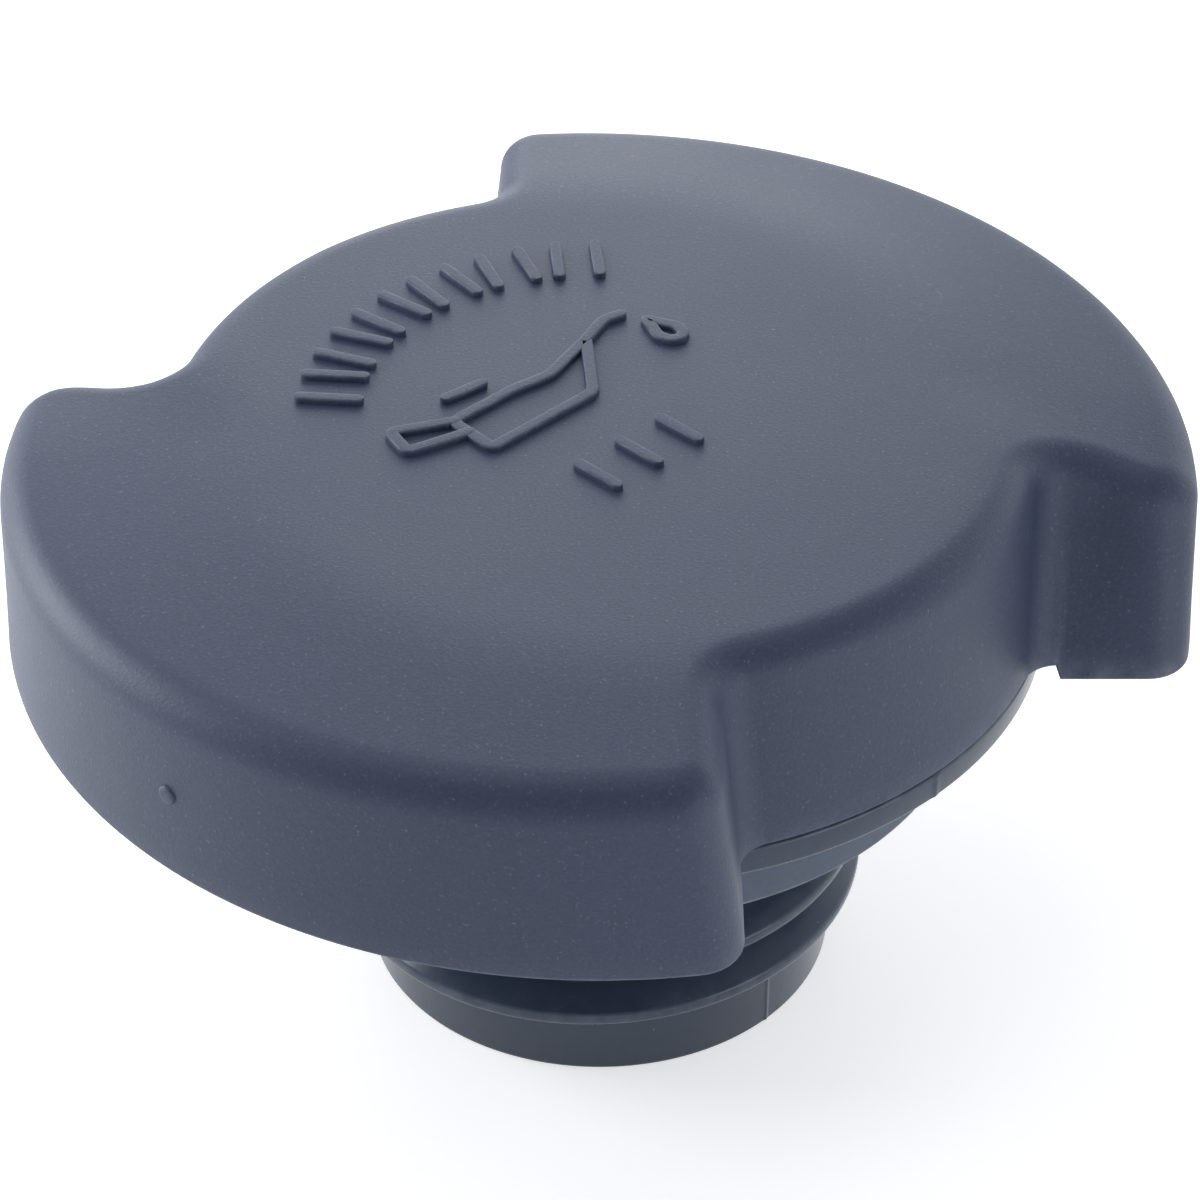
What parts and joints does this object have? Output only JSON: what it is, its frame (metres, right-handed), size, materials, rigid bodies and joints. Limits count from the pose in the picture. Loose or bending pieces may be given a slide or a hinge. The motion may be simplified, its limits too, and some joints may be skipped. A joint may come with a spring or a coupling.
{
  "type": "oil filler cap",
  "caption": "Twist cap with a lobed, hollow moulded grip on a threaded hollow neck, with a flange and a rubber sealing ring under it.",
  "frame": {"origin": "centre of the neck's open end face, the lowest point of the cap, on the thread's axis", "axes": "+Z along the thread's axis from the neck's end up through the grip cover; the lobes' end faces lie near the XZ and YZ planes"},
  "size_m": [0.0686, 0.0684, 0.0384],
  "materials": {
    "cover_plastic": "fine moulded grain",
    "insert_plastic": "smooth moulded, semi-gloss",
    "seal_rubber": "matt"
  },
  "bodies": {
    "root": {"grip_cover": "cover_plastic", "neck_insert": "insert_plastic", "seal_ring": "seal_rubber"}
  },
  "joints": []
}
